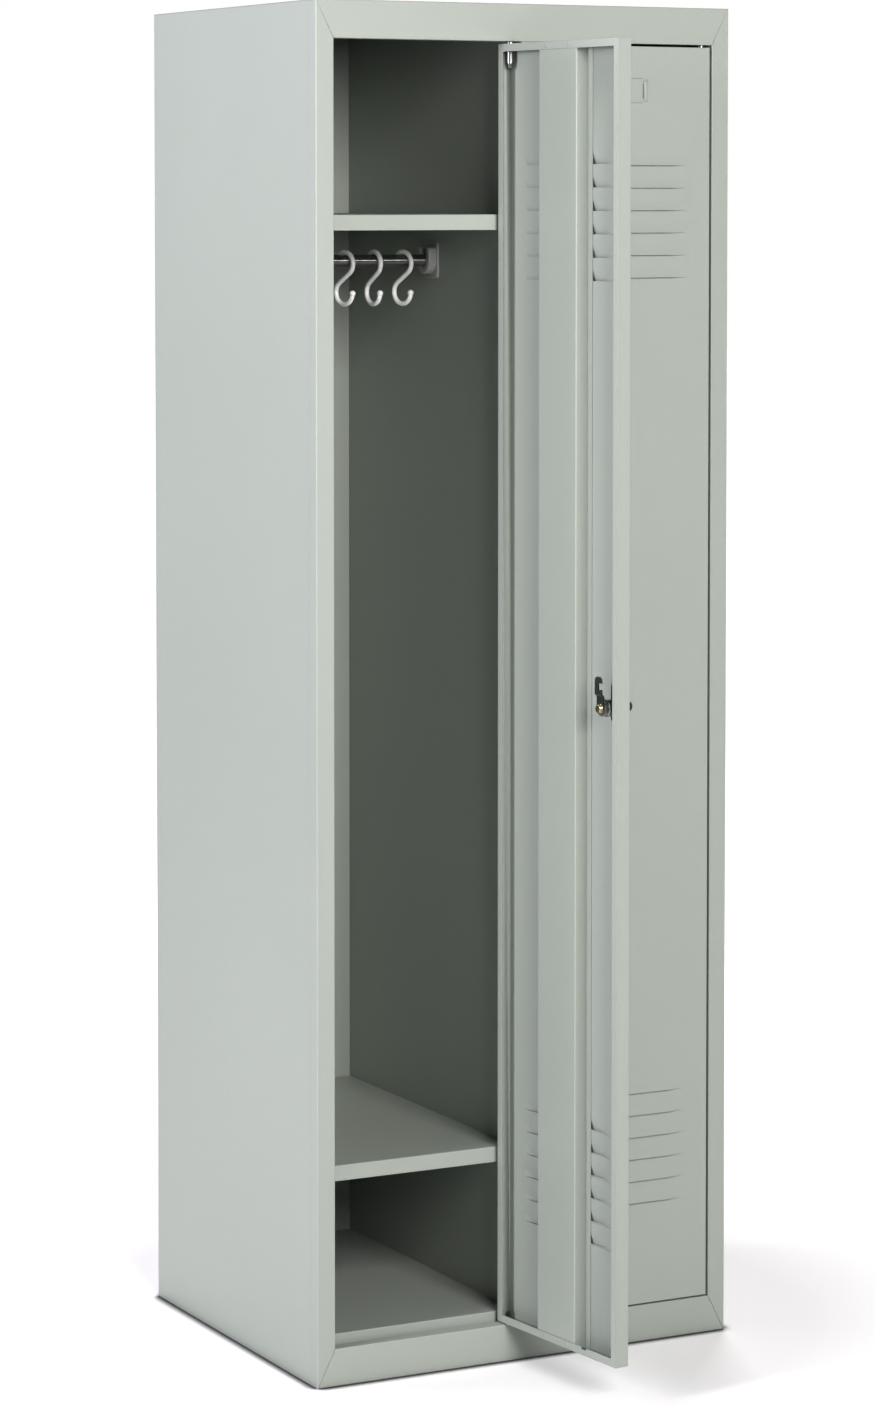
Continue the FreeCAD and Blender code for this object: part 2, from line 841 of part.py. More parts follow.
# Cam: a flat arm with a joggle and a hook at its end, upright when the lock is open
def lockCam(label):
    body = newBody(label)
    half = p.cam_width / 2
    foot = lockLevel
    joggleFoot = foot + p.cam_joggle_level
    joggleTop = joggleFoot + p.cam_joggle
    armFace = camSeat + p.cam_joggle
    lockDisc(body, "Eye", half, camSeat, p.cam_gauge)
    base = newSketch(body, "Base", "XZ_Plane", -camSeat)
    addBox(base, lockX - half, foot, lockX + half, joggleFoot)
    pad(body, base, p.cam_gauge, reverse=True)
    joggle = newSketch(body, "Joggle", "YZ_Plane", lockX - half)
    addLoop(joggle, [
        (camSeat, joggleFoot),
        (camSeat + p.cam_gauge, joggleFoot),
        (armFace + p.cam_gauge, joggleTop),
        (armFace, joggleTop),
    ])
    pad(body, joggle, p.cam_width)
    tip = foot + p.cam_length
    throatSide = lockX - half + p.throat_depth
    arm = newSketch(body, "Arm", "XZ_Plane", -armFace)
    addLoop(arm, [
        (lockX + half, joggleTop),
        (lockX + half, tip),
        (lockX - half, tip),
        (lockX - half, foot + p.throat_top),
        (throatSide, foot + p.throat_top),
        (throatSide, foot + p.throat_bottom),
        (lockX - half, foot + p.throat_bottom),
        (lockX - half, joggleTop),
    ])
    pad(body, arm, p.cam_gauge, reverse=True)
    roundEdges(body, p.cam_round, edgesAlong(1, [(lockX + half, tip), (lockX - half, tip)]))
    return body


# Key: a flat bow outside the lock and a blade in the plug
def lockKey(label):
    body = newBody(label)
    shoulder = lockFace - p.key_neck
    bowEnd = shoulder - p.key_bow_length
    bladeEnd = lockFace + p.key_depth
    bowTop = lockLevel + p.key_bow / 2
    bowFoot = lockLevel - p.key_bow / 2
    bladeTop = lockLevel + p.key_blade / 2
    bladeFoot = lockLevel - p.key_blade / 2
    start = lockX - p.key_gauge / 2
    outline = newSketch(body, "Outline", "YZ_Plane", start)
    addLoop(outline, [
        (bowEnd, bowFoot),
        (shoulder, bowFoot),
        (shoulder, bladeFoot),
        (bladeEnd, bladeFoot),
        (bladeEnd, bladeTop),
        (shoulder, bladeTop),
        (shoulder, bowTop),
        (bowEnd, bowTop),
    ])
    pad(body, outline, p.key_gauge)
    roundEdges(body, p.key_round, edgesAlong(0, [(bowEnd, bowFoot), (bowEnd, bowTop)]))
    hole = newSketch(body, "RingHole", "YZ_Plane", start)
    addCircle(hole, bowEnd + p.key_round, lockLevel, p.key_ring_hole / 2)
    pocket(body, hole, p.key_gauge, reverse=True)
    return body


def doorPieces(side, pinX, angle):
    pins = [
        hingePin(f"{side}_upper_pin", doorTop, topRailEdge, 1, p.upper_pin_length),
        hingePin(f"{side}_lower_pin", doorBottom, p.rail_height, -1, p.lower_pin_length),
    ]
    for body in pins + [
        doorPanel(f"{side}_door_panel"),
        doorStiffener(f"{side}_door_stiffener"),
        lockBody(f"{side}_lock_body"),
        lockPlug(f"{side}_lock_plug"),
        lockCam(f"{side}_lock_cam"),
        lockKey(f"{side}_key"),
    ]:
        placeAtPin(body, pinX, angle)
    joinPieces(f"{side}_hinge_pins", pins)


def compartmentPieces(side, x0, x1):
    tray(f"{side}_upper_shelf", x0, x1, upperShelf)
    tray(f"{side}_lower_shelf", x0, x1, p.lower_shelf)
    tray(f"{side}_floor", x0, x1, p.floor_level)
    coatRod(f"{side}_coat_rod", x0, x1)
    sockets = [rodSocket(f"{side}_socket_a", x0, 0), rodSocket(f"{side}_socket_b", x1, 180)]
    joinPieces(f"{side}_rod_sockets", sockets)
    for number, twist in ((1, p.hook_twist), (2, p.middle_hook_twist), (3, p.hook_twist)):
        coatHook(f"{side}_coat_hook_{number}", x1 - p.hook_spacing * (4 - number), twist)


uprightWall("left_side_panel", -halfWidth, -1)
uprightWall("right_side_panel", halfWidth, 1)
uprightWall("partition", -halfCentre, -1)
sideStile("left_stile", -1)
sideStile("right_stile", 1)
centreStile()
roofPanel()
bottomRail()
backPanel()
for side, (x0, x1) in compartments.items():
    compartmentPieces(side, x0, x1)
doorPieces("left", leftPin, p.left_door_angle)
doorPieces("right", rightPin, p.right_door_angle)

doc.recompute()
for item in doc.Objects:
    if "Invalid" in item.State or "Error" in item.State:
        raise ValueError(f"{item.Label} did not build: {item.State}")
for body in pieces:
    solids = len(body.Links) if body.TypeId == "Part::Compound" else 1
    if body.Shape.isNull() or not body.Shape.isValid() or len(body.Shape.Solids) != solids:
        raise ValueError(f"{body.Label} is not made of {solids} valid solids")

os.makedirs("parts", exist_ok=True)
for body in pieces:
    body.Shape.exportStep(f"parts/{body.Label}.step")
print(f"{len(pieces)} pieces written")
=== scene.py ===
import json
import math

import bmesh
import bpy
from mathutils import Matrix, Vector


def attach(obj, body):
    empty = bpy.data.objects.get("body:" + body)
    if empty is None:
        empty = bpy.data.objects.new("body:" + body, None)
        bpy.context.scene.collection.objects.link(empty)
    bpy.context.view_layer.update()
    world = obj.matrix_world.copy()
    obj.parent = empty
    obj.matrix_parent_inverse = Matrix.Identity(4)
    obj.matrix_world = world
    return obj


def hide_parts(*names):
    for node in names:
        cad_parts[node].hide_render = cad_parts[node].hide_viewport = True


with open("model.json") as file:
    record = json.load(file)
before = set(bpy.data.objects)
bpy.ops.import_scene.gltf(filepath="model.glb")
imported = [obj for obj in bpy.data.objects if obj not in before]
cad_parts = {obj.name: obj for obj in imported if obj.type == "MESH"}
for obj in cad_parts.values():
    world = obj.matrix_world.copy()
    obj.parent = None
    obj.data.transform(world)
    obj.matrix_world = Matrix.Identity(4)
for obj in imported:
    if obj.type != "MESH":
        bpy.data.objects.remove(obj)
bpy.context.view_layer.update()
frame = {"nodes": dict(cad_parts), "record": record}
print("frame loaded:", len(frame["nodes"]), "nodes")

scene = bpy.context.scene
nodes = frame["nodes"]
sides = ("left", "right")
mm = 0.001

# camera

cameraSetup = {
    "lens": 105.247,
    "shift": -0.21,
    "place": (-2.5303, -4.8599, 1.5033),
    "pitch": -2.924,
    "yaw": -27.511,
    "farEnd": 200,
}

cameraData = bpy.data.cameras.new("photoCamera")
cameraData.lens = cameraSetup["lens"]
cameraData.shift_y = cameraSetup["shift"]
cameraData.clip_end = cameraSetup["farEnd"]
camera = bpy.data.objects.new("photoCamera", cameraData)
camera.location = cameraSetup["place"]
camera.rotation_euler = (math.radians(90 + cameraSetup["pitch"]), 0, math.radians(cameraSetup["yaw"]))
scene.collection.objects.link(camera)
scene.camera = camera

# soft light in front of a plain white backdrop

studio = {
    "gamma": 0.82,
    "skyStrength": 0.15,
    "white": (1, 1, 1, 1),
    # name, place, aimed at, width, height, watts, colour, seen in gloss
    "lamps": [
        ("frontSoftbox", (-0.5, -4.1, 2.3), (0.0, 0.0, 0.9), 1.8, 1.5, 205.0, (1.0, 0.965, 0.975), True),
        ("sideSoftbox", (-4.0, -0.7, 1.9), (0.0, -0.2, 1.1), 0.75, 1.4, 138.0, (0.96, 0.935, 1.0), True),
        ("backSoftbox", (-2.6, 1.5, 2.2), (-0.3, 0.0, 1.2), 1.2, 1.2, 46.0, (0.92, 0.90, 1.0), True),
        ("rearSoftbox", (2.2, 3.0, 3.4), (0.1, 0.1, 1.1), 1.6, 1.6, 120.0, (1.0, 0.965, 0.985), False),
    ],
}

scene.view_settings.view_transform = "Standard"
scene.view_settings.gamma = studio["gamma"]
world = bpy.data.worlds.new("softStudio")
scene.world = world
world.use_nodes = True
skyNodes = world.node_tree.nodes
skyLinks = world.node_tree.links
sky = skyNodes["Background"]
sky.inputs["Strength"].default_value = studio["skyStrength"]
sky.inputs["Color"].default_value = studio["white"]
backdrop = skyNodes.new("ShaderNodeBackground")
backdrop.inputs["Color"].default_value = studio["white"]
sight = skyNodes.new("ShaderNodeLightPath")
choice = skyNodes.new("ShaderNodeMixShader")
skyLinks.new(sight.outputs["Is Camera Ray"], choice.inputs[0])
skyLinks.new(sky.outputs[0], choice.inputs[1])
skyLinks.new(backdrop.outputs[0], choice.inputs[2])
skyLinks.new(choice.outputs[0], skyNodes["World Output"].inputs["Surface"])

for name, place, target, width, height, watts, colour, inGloss in studio["lamps"]:
    lampData = bpy.data.lights.new(name, "AREA")
    lampData.shape = "RECTANGLE"
    lampData.size = width
    lampData.size_y = height
    lampData.energy = watts
    lampData.color = colour
    lamp = bpy.data.objects.new(name, lampData)
    lamp.location = place
    lamp.visible_glossy = inGloss
    lamp.rotation_euler = (Vector(target) - Vector(place)).to_track_quat("-Z", "Y").to_euler()
    scene.collection.objects.link(lamp)
print("camera and lamps set")

# shader helpers


def feed(tree, socket, value):
    if isinstance(value, bpy.types.NodeSocket):
        tree.links.new(value, socket)
    else:
        socket.default_value = value


def addNode(tree, kind, settings=None, **sockets):
    node = tree.nodes.new(kind)
    for field, value in (settings or {}).items():
        setattr(node, field, value)
    for label, value in sockets.items():
        feed(tree, node.inputs[label.replace("_", " ")], value)
    return node


def useGroup(tree, group, **sockets):
    return addNode(tree, "ShaderNodeGroup", {"node_tree": group}, **sockets)


def calc(tree, operation, a, b=0.0, clamp=False):
    node = addNode(tree, "ShaderNodeMath", {"operation": operation, "use_clamp": clamp})
    feed(tree, node.inputs[0], a)
    feed(tree, node.inputs[1], b)
    return node.outputs[0]


# a value moved from one range to another
def spread(tree, value, to, start=(0.0, 1.0)):
    node = addNode(
        tree, "ShaderNodeMapRange", {"clamp": True},
        Value=value, From_Min=start[0], From_Max=start[1], To_Min=to[0], To_Max=to[1])
    return node.outputs["Result"]


# the Mix node's sockets for colours, which share their names with those for plain values
mixSockets = {"first": 6, "second": 7, "result": 2}


def blendColour(tree, factor, first, second):
    node = addNode(tree, "ShaderNodeMix", {"data_type": "RGBA"}, Factor=factor)
    for label, value in (("first", first), ("second", second)):
        plain = not isinstance(value, bpy.types.NodeSocket)
        feed(tree, node.inputs[mixSockets[label]], (*value, 1) if plain else value)
    return node.outputs[mixSockets["result"]]


def bump(tree, height, strength, distance):
    node = addNode(tree, "ShaderNodeBump", Height=height, Strength=strength, Distance=distance)
    return node.outputs["Normal"]


def newGroup(name, inputs, outputs):
    group = bpy.data.node_groups.new(name, "ShaderNodeTree")
    for label, kind, value in inputs:
        socket = group.interface.new_socket(label, in_out="INPUT", socket_type=kind)
        if value is not None:
            socket.default_value = value
    for label, kind in outputs:
        group.interface.new_socket(label, in_out="OUTPUT", socket_type=kind)
    entry = group.nodes.new("NodeGroupInput")
    result = group.nodes.new("NodeGroupOutput")
    return group, entry, result


# shared shader effects

# powder coat: fine orange peel, slow drift of tone and gloss
coatGrain = {
    "driftShare": 0.8,
    "fleckShare": 0.2,
    "glossSwing": (-0.06, 0.06),
}


def powderCoatGroup():
    group, entry, result = newGroup(
        "powderCoat",
        [
            ("Vector", "NodeSocketVector", None),
            ("Peel Scale", "NodeSocketFloat", 420.0),
            ("Drift Scale", "NodeSocketFloat", 3.0),
            ("Gloss", "NodeSocketFloat", 0.45),
        ],
        [("Drift", "NodeSocketFloat"), ("Roughness", "NodeSocketFloat"), ("Height", "NodeSocketFloat")],
    )
    place = entry.outputs["Vector"]
    peel = addNode(group, "ShaderNodeTexNoise", Vector=place, Scale=entry.outputs["Peel Scale"], Detail=2.0)
    drift = addNode(group, "ShaderNodeTexNoise", Vector=place, Scale=entry.outputs["Drift Scale"], Detail=3.0)
    fleck = addNode(group, "ShaderNodeTexNoise", Vector=place, Scale=95.0, Detail=4.0)
    blotch = calc(group, "MULTIPLY", drift.outputs["Fac"], coatGrain["driftShare"])
    speck = calc(group, "MULTIPLY", fleck.outputs["Fac"], coatGrain["fleckShare"])
    group.links.new(calc(group, "ADD", blotch, speck), result.inputs["Drift"])
    swing = spread(group, fleck.outputs["Fac"], coatGrain["glossSwing"])
    group.links.new(calc(group, "ADD", entry.outputs["Gloss"], swing), result.inputs["Roughness"])
    group.links.new(peel.outputs["Fac"], result.inputs["Height"])
    return group


# dust that settles on faces that look up
dustFall = {
    "steepness": 3.0,
    "patches": (0.35, 1.0),
}


def settledDustGroup():
    group, entry, result = newGroup(
        "settledDust",
        [("Vector", "NodeSocketVector", None), ("Amount", "NodeSocketFloat", 0.2)],
        [("Mask", "NodeSocketFloat")],
    )
    facing = addNode(group, "ShaderNodeNewGeometry")
    parts = addNode(group, "ShaderNodeSeparateXYZ", Vector=facing.outputs["Normal"])
    cloud = addNode(group, "ShaderNodeTexNoise", Vector=entry.outputs["Vector"], Scale=11.0, Detail=6.0)
    upward = calc(group, "POWER", calc(group, "MAXIMUM", parts.outputs["Z"], 0.0), dustFall["steepness"])
    patchy = spread(group, cloud.outputs["Fac"], dustFall["patches"])
    mask = calc(group, "MULTIPLY", calc(group, "MULTIPLY", upward, patchy), entry.outputs["Amount"], True)
    group.links.new(mask, result.inputs["Mask"])
    return group


# bare or polished metal: drawn lines along one axis and dull clouds
drawnGrain = {
    "lineShare": 0.4,
    "cloudShare": 0.6,
    "glossSwing": (-0.08, 0.1),
}


def drawnMetalGroup():
    group, entry, result = newGroup(
        "drawnMetal",
        [
            ("Vector", "NodeSocketVector", None),
            ("Line Scale", "NodeSocketFloat", 900.0),
            ("Gloss", "NodeSocketFloat", 0.3),
        ],
        [("Tone", "NodeSocketFloat"), ("Roughness", "NodeSocketFloat"), ("Height", "NodeSocketFloat")],
    )
    place = entry.outputs["Vector"]
    lines = addNode(group, "ShaderNodeTexNoise", Vector=place, Scale=entry.outputs["Line Scale"], Detail=3.0)
    cloud = addNode(group, "ShaderNodeTexNoise", Vector=place, Scale=70.0, Detail=4.0)
    streak = calc(group, "MULTIPLY", lines.outputs["Fac"], drawnGrain["lineShare"])
    dull = calc(group, "MULTIPLY", cloud.outputs["Fac"], drawnGrain["cloudShare"])
    group.links.new(calc(group, "ADD", streak, dull), result.inputs["Tone"])
    swing = spread(group, cloud.outputs["Fac"], drawnGrain["glossSwing"])
    group.links.new(calc(group, "ADD", entry.outputs["Gloss"], swing, True), result.inputs["Roughness"])
    group.links.new(lines.outputs["Fac"], result.inputs["Height"])
    return group


# edges rubbed bright: where the rounded normal leaves the flat one
edgeRub = {
    "samples": 4,
    "gain": 5.0,
}


def rubbedEdgeGroup():
    group, entry, result = newGroup(
        "rubbedEdge",
        [
            ("Vector", "NodeSocketVector", None),
            ("Width", "NodeSocketFloat", 0.0006),
            ("Amount", "NodeSocketFloat", 0.5),
        ],
        [("Mask", "NodeSocketFloat")],
    )
    flat = addNode(group, "ShaderNodeNewGeometry")
    rounded = addNode(
        group, "ShaderNodeBevel", {"samples": edgeRub["samples"]}, Radius=entry.outputs["Width"])
    match = addNode(group, "ShaderNodeVectorMath", {"operation": "DOT_PRODUCT"})
    group.links.new(flat.outputs["Normal"], match.inputs[0])
    group.links.new(rounded.outputs["Normal"], match.inputs[1])
    bend = calc(group, "SUBTRACT", 1.0, match.outputs["Value"])
    chips = addNode(group, "ShaderNodeTexNoise", Vector=entry.outputs["Vector"], Scale=160.0, Detail=5.0)
    worn = calc(group, "MULTIPLY", calc(group, "MULTIPLY", bend, edgeRub["gain"], True), chips.outputs["Fac"])
    group.links.new(calc(group, "MULTIPLY", worn, entry.outputs["Amount"], True), result.inputs["Mask"])
    return group


powderCoat = powderCoatGroup()
settledDust = settledDustGroup()
drawnMetal = drawnMetalGroup()
rubbedEdge = rubbedEdgeGroup()

# materials


def newMaterial(name):
    material = bpy.data.materials.new(name)
    material.use_nodes = True
    tree = material.node_tree
    shader = tree.nodes["Principled BSDF"]
    coords = addNode(tree, "ShaderNodeTexCoord")
    return material, tree, shader, coords.outputs["Object"]


sheetPaint = {
    "light": (0.356, 0.388, 0.350),
    "deep": (0.334, 0.365, 0.329),
    "dust": (0.42, 0.45, 0.415),
    "gloss": 0.42,
    "peel": 0.10,
    "peelDepth": 0.2 * mm,
    "dustAmount": 0.25,
    "dustRough": 0.5,
    "fold": 1.0 * mm,  # rounding of the sheet's folds
    "foldSamples": 4,
}


def paintedSheet():
    p = sheetPaint
    material, tree, shader, place = newMaterial("lightGreyPowderCoat")
    coat = useGroup(tree, powderCoat, Vector=place, Gloss=p["gloss"])
    dust = useGroup(tree, settledDust, Vector=place, Amount=p["dustAmount"])
    paint = blendColour(tree, coat.outputs["Drift"], p["deep"], p["light"])
    colour = blendColour(tree, dust.outputs["Mask"], paint, p["dust"])
    tree.links.new(colour, shader.inputs["Base Color"])
    dusty = calc(tree, "MULTIPLY", dust.outputs["Mask"], p["dustRough"])
    tree.links.new(calc(tree, "ADD", coat.outputs["Roughness"], dusty, True), shader.inputs["Roughness"])
    normal = bump(tree, coat.outputs["Height"], p["peel"], p["peelDepth"])
    fold = addNode(tree, "ShaderNodeBevel", {"samples": p["foldSamples"]}, Radius=p["fold"], Normal=normal)
    tree.links.new(fold.outputs["Normal"], shader.inputs["Normal"])
    return material


plasticLooks = {
    # light colour, deep colour, gloss
    "paleHookPlastic": ((0.80, 0.81, 0.79), (0.74, 0.75, 0.73), 0.36),
    # the sockets' copy of the hook plastic, darkened with painted shade
    "shadeDarkenedSocketPlastic": ((0.40, 0.41, 0.395), (0.34, 0.35, 0.335), 0.42),
}
plasticGrain = {
    "peelScale": 900.0,
    "driftScale": 25.0,
    "peel": 0.15,
    "peelDepth": 0.1 * mm,
    "dustAmount": 0.2,
}


def mouldedPlastic(name):
    g = plasticGrain
    light, deep, gloss = plasticLooks[name]
    material, tree, shader, place = newMaterial(name)
    coat = useGroup(
        tree, powderCoat, Vector=place, Peel_Scale=g["peelScale"], Drift_Scale=g["driftScale"], Gloss=gloss)
    dust = useGroup(tree, settledDust, Vector=place, Amount=g["dustAmount"])
    body = blendColour(tree, coat.outputs["Drift"], deep, light)
    colour = blendColour(tree, dust.outputs["Mask"], body, sheetPaint["dust"])
    tree.links.new(colour, shader.inputs["Base Color"])
    tree.links.new(coat.outputs["Roughness"], shader.inputs["Roughness"])
    tree.links.new(bump(tree, coat.outputs["Height"], g["peel"], g["peelDepth"]), shader.inputs["Normal"])
    return material


metalLooks = {
    # dull colour, bright colour, gloss, stretch of the drawn lines
    "polishedChrome": ((0.24, 0.245, 0.24), (0.32, 0.325, 0.32), 0.30, (1, 0.04, 0.04)),
    "brightChrome": ((0.15, 0.155, 0.16), (0.24, 0.245, 0.25), 0.30, (1, 1, 0.1)),
    "satinZinc": ((0.40, 0.41, 0.42), (0.54, 0.55, 0.56), 0.32, (1, 1, 0.4)),
    "darkSteel": ((0.15, 0.165, 0.155), (0.27, 0.29, 0.275), 0.32, (1, 1, 0.2)),
    "yellowZinc": ((0.52, 0.44, 0.27), (0.76, 0.68, 0.46), 0.22, (1, 1, 1)),
}
metalEdges = {
    # colour and amount of the rubbed edges
    "satinZinc": ((0.75, 0.75, 0.74), 0.4),
    "darkSteel": ((0.6, 0.6, 0.58), 0.6),
    "yellowZinc": ((0.95, 0.90, 0.72), 0.6),
}
metalGrain = {
    "depth": 0.06,
    "depthReach": 0.1 * mm,
}


def bareMetal(name):
    dull, bright, gloss, stretch = metalLooks[name]
    material, tree, shader, place = newMaterial(name)
    mapping = addNode(tree, "ShaderNodeMapping", Vector=place, Scale=stretch)
    grain = useGroup(tree, drawnMetal, Vector=mapping.outputs["Vector"], Gloss=gloss)
    colour = blendColour(tree, grain.outputs["Tone"], dull, bright)
    if name in metalEdges:
        worn, amount = metalEdges[name]
        rub = useGroup(tree, rubbedEdge, Vector=place, Amount=amount)
        colour = blendColour(tree, rub.outputs["Mask"], colour, worn)
    tree.links.new(colour, shader.inputs["Base Color"])
    tree.links.new(grain.outputs["Roughness"], shader.inputs["Roughness"])
    normal = bump(tree, grain.outputs["Height"], metalGrain["depth"], metalGrain["depthReach"])
    tree.links.new(normal, shader.inputs["Normal"])
    shader.inputs["Metallic"].default_value = 1.0
    return material


# a bar ground and polished while it turns draws each light out along the bar
rodGrind = {
    "axis": "X",
    "amount": 1.0,
    "turn": 0.25,
}


def groundRod():
    material = bareMetal("polishedChrome")
    tree = material.node_tree
    shader = tree.nodes["Principled BSDF"]
    around = addNode(tree, "ShaderNodeTangent", {"direction_type": "RADIAL", "axis": rodGrind["axis"]})
    tree.links.new(around.outputs["Tangent"], shader.inputs["Tangent"])
    shader.inputs["Anisotropic"].default_value = rodGrind["amount"]
    shader.inputs["Anisotropic Rotation"].default_value = rodGrind["turn"]
    return material


# painted shade: the dark of a narrow slit's shadow, painted as a colour
slitShade = {
    "light": (0.06, 0.062, 0.06),
    "deep": (0.03, 0.031, 0.03),
    "driftScale": 40.0,
    "gloss": 0.7,
}


def paintGapShade():
    s = slitShade
    material, tree, shader, place = newMaterial("paintedGapShade")
    coat = useGroup(tree, powderCoat, Vector=place, Drift_Scale=s["driftScale"], Gloss=s["gloss"])
    colour = blendColour(tree, coat.outputs["Drift"], s["deep"], s["light"])
    tree.links.new(colour, shader.inputs["Base Color"])
    tree.links.new(coat.outputs["Roughness"], shader.inputs["Roughness"])
    return material


finishes = {
    "painted_sheet": paintedSheet(),
    "grey_plastic": mouldedPlastic("paleHookPlastic"),
    "chrome_rod": groundRod(),
    "plated_steel": bareMetal("brightChrome"),
    "zinc": bareMetal("satinZinc"),
    "dark_steel": bareMetal("darkSteel"),
}
screwZinc = bareMetal("yellowZinc")
# socket plastic: the pale hook plastic darkened with painted shade
socketShadePlastic = mouldedPlastic("shadeDarkenedSocketPlastic")
# dark paint that stands in for the shade inside slits and slots
gapShade = paintGapShade()

for part in frame["record"]["subparts"]:
    mesh = nodes[part["node"]].data
    mesh.materials.clear()
    mesh.materials.append(finishes[part["material_slot"]])
print("materials on", len(nodes), "nodes")

# mesh helpers

mergeReach = 0.001 * mm


def newPiece(name, bm, body, slot, crease=None, material=None):
    bmesh.ops.remove_doubles(bm, verts=bm.verts, dist=mergeReach)
    bmesh.ops.recalc_face_normals(bm, faces=bm.faces)
    mesh = bpy.data.meshes.new(name)
    bm.to_mesh(mesh)
    bm.free()
    mesh.materials.append(material or finishes[slot])
    if crease:
        mesh.shade_smooth()
        mesh.set_sharp_from_angle(angle=math.radians(crease))
    piece = bpy.data.objects.new(name, mesh)
    scene.collection.objects.link(piece)
    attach(piece, body)
    return piece


def pick(items, kind):
    return [item for item in items if isinstance(item, kind)]


def roundEdges(bm, edges, offset, segments):
    bmesh.ops.bevel(
        bm, geom=edges, offset=offset, offset_type="OFFSET", affect="EDGES",
        segments=segments, profile=0.5, material=-1)


# a box from its spans along x, y and z
def block(bm, *spans):
    cube = bmesh.ops.create_cube(bm, size=1.0)
    bmesh.ops.scale(bm, verts=cube["verts"], vec=[high - low for low, high in spans])
    bmesh.ops.translate(bm, verts=cube["verts"], vec=[(low + high) / 2 for low, high in spans])


# a round shape from points of radius and height, about +Z
def turnedShape(bm, points, steps):
    corners = [bm.verts.new((radius, 0, height)) for radius, height in points]
    edges = [bm.edges.new(pair) for pair in zip(corners, corners[1:])]
    bmesh.ops.spin(
        bm, geom=corners + edges, cent=(0, 0, 0), axis=(0, 0, 1), angle=2 * math.pi,
        steps=steps, use_merge=True)


# coat hooks of round wire, in the rod's own frame until they are hung
hookShape = {
    "wire": 3.25 * mm,
    "ball": 4.2 * mm,
    "topRadius": 15.0 * mm,
    "footRadius": 15.5 * mm,
    "drop": 38.5 * mm,
    "seat": 11.6 * mm,  # wire centre above the rod's axis
    "tip": 40.0,
    "tipRound": 1.0 * mm,
    "tipSegments": 3,
    "segments": 20,
    "footSteps": 36,
    "topSteps": 34,
    "ballSegments": (24, 16),
    "crease": 60,
    "rod": (-1.0 * mm, 1420.0 * mm),
    "places": {"left": (-137.0, -94.0, -51.0), "right": (170.2, 213.2, 256.2)},
    "twist": (18.0, 8.0, 18.0),
    "hang": (3.873, 4.032, 3.873),
}


def coatHook(side, number):
    h = hookShape
    topZ = h["seat"] - h["topRadius"]
    footZ = topZ - h["drop"]
    lean = math.asin((h["topRadius"] + h["footRadius"]) / h["drop"])
    bm = bmesh.new()
    start = bmesh.ops.create_circle(bm, cap_ends=True, segments=h["segments"], radius=h["wire"])
    bmesh.ops.translate(bm, verts=start["verts"], vec=(0, -h["footRadius"], footZ))
    foot = bmesh.ops.spin(
        bm, geom=list(bm.edges), cent=(0, 0, footZ), axis=(1, 0, 0), angle=math.pi + lean,
        steps=h["footSteps"], use_merge=False)
    shank = bmesh.ops.extrude_edge_only(bm, edges=pick(foot["geom_last"], bmesh.types.BMEdge))
    fresh = pick(shank["geom"], bmesh.types.BMVert)
    footEnd = Vector((0, h["footRadius"] * math.cos(lean), footZ + h["footRadius"] * math.sin(lean)))
    topStart = Vector((0, -h["topRadius"] * math.cos(lean), topZ - h["topRadius"] * math.sin(lean)))
    bmesh.ops.translate(bm, verts=fresh, vec=topStart - footEnd)
    edges = pick(shank["geom"], bmesh.types.BMEdge)
    ring = [edge for edge in edges if all(vert in fresh for vert in edge.verts)]
    sweep = math.pi + lean - math.radians(h["tip"])
    top = bmesh.ops.spin(
        bm, geom=ring, cent=(0, 0, topZ), axis=(1, 0, 0), angle=-sweep, steps=h["topSteps"], use_merge=False)
    cap = bmesh.ops.edgeloop_fill(bm, edges=pick(top["geom_last"], bmesh.types.BMEdge))
    rim = [edge for face in cap["faces"] for edge in face.edges]
    roundEdges(bm, rim, h["tipRound"], h["tipSegments"])
    around, upward = h["ballSegments"]
    ball = bmesh.ops.create_uvsphere(bm, u_segments=around, v_segments=upward, radius=h["ball"])
    bmesh.ops.translate(bm, verts=ball["verts"], vec=(0, -h["footRadius"], footZ))
    x = h["places"][side][number - 1] * mm
    hang = (
        Matrix.Translation((x, *h["rod"]))
        @ Matrix.Rotation(math.radians(h["hang"][number - 1]), 4, "X")
        @ Matrix.Rotation(math.radians(h["twist"][number - 1]), 4, "Z")
    )
    bmesh.ops.transform(bm, matrix=hang, verts=bm.verts)
    body = f"{side}_coat_hook_{number}"
    piece = newPiece(f"{side}_wire_hook_{number}", bm, body, "grey_plastic", h["crease"])
    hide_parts(body)


for side in sides:
    for number in (1, 2, 3):
        coatHook(side, number)
print("coat hooks hung")

# moulded rod sockets: a rounded plate on the wall and a cup that is open at the top
rodSocket = {
    "half": 20.0 * mm,
    "reach": 24.0 * mm,
    "corner": 5.0 * mm,
    "plate": 3.0 * mm,
    "plateRound": 1.0 * mm,
    "rim": 18.2 * mm,
    "bore": 8.2 * mm,
    "arm": 18.0 * mm,
    "cup": 11.0 * mm,
    "cupRound": 2.2 * mm,
    "roundSegments": 4,
    # steps of the plate's corners, the cup's rim, its bore and its arms' tips
    "steps": (6, 28, 20, 10),
    "crease": 35,
    "walls": {"left": (-299.2 * mm, -8.0 * mm), "right": (-7.2 * mm, 299.2 * mm)},
    "rod": (-1.0 * mm, 1420.0 * mm),
}


def arc(y, z, radius, start, end, steps):
    turns = [math.radians(start + (end - start) * i / steps) for i in range(steps + 1)]
    return [(y + radius * math.cos(turn), z + radius * math.sin(turn)) for turn in turns]


# a flat outline in y and z, thickened along x from one level, with its outer rim rounded
def roundedSlab(bm, outline, level, thick, rounding):
    base = bm.faces.new([bm.verts.new((level, y, z)) for y, z in outline])
    raised = bmesh.ops.extrude_face_region(bm, geom=[base])
    bmesh.ops.translate(bm, verts=pick(raised["geom"], bmesh.types.BMVert), vec=(thick, 0, 0))
    bmesh.ops.recalc_face_normals(bm, faces=bm.faces)
    roundEdges(bm, pick(raised["geom"], bmesh.types.BMEdge), rounding, rodSocket["roundSegments"])


